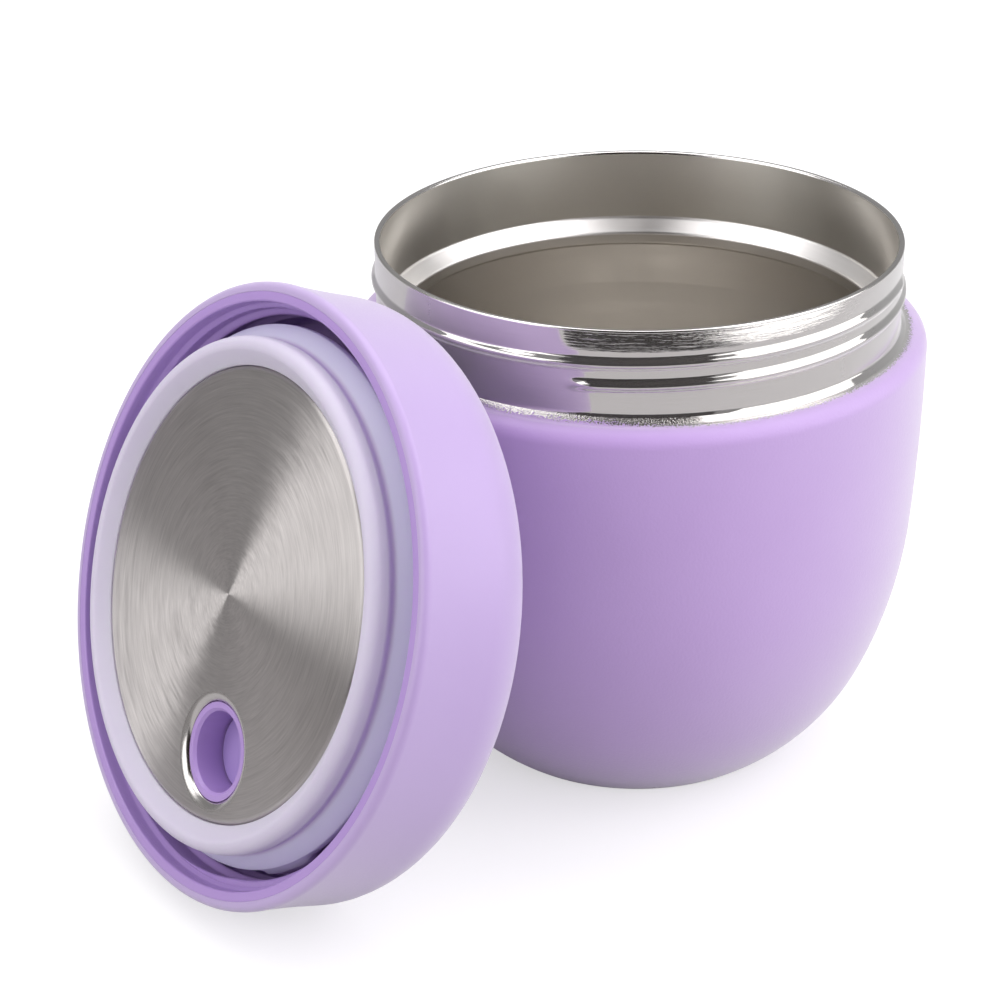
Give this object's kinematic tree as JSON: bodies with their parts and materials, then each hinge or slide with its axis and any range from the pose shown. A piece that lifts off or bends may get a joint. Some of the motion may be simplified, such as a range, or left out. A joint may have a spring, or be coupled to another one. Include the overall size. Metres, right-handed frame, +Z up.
{
  "type": "insulated food jar",
  "caption": "Egg-shaped double-wall steel food jar standing open, with its vented screw lid taken off and leaning against it.",
  "frame": {"origin": "centre of the jar's foot ring, on the table", "axes": "+Z up along the jar's axis; the lid leans on the jar's left front, towards -X and -Y"},
  "size_m": [0.1582, 0.1531, 0.1058],
  "materials": {
    "lilac_coat": "matte powder coat, bare polished steel on the neck",
    "liner_steel": "polished neck and ledge, satin bowl",
    "base_steel": "drawn steel",
    "getter_metal": "sintered",
    "solder_glass": "glass bead",
    "base_cover_steel": "brushed",
    "cover_plastic": "satin moulding",
    "moulding_plastic": "satin moulding",
    "foam": "rigid foam",
    "disc_steel": "turned brushing",
    "seal_silicone": "translucent silicone",
    "plug_plastic": "satin moulding",
    "ring_silicone": "translucent silicone"
  },
  "bodies": {
    "jar": {"outer_shell": "lilac_coat", "inner_liner": "liner_steel", "base_cup": "base_steel", "getter": "getter_metal", "vacuum_seal": "solder_glass", "base_cover": "base_cover_steel"},
    "lid": {"lid_cover": "cover_plastic", "inner_cap": "moulding_plastic", "foam_core": "foam", "steel_disc": "disc_steel"},
    "seal": {"seal_ring": "seal_silicone"},
    "vent": {"vent_plug": "plug_plastic", "plug_ring": "ring_silicone"}
  },
  "joints": [
    {"name": "lid_lift", "type": "slide", "parent": "jar", "child": "lid", "axis": [0, 0, 1], "range_m": [0, 0.12]},
    {"name": "seal_pull", "type": "slide", "parent": "lid", "child": "seal", "axis": [-0.7749, -0.5326, 0.3404], "range_m": [0, 0.012]},
    {"name": "vent_pull", "type": "slide", "parent": "lid", "child": "vent", "axis": [0.7749, 0.5326, -0.3404], "range_m": [0, 0.021]}
  ]
}
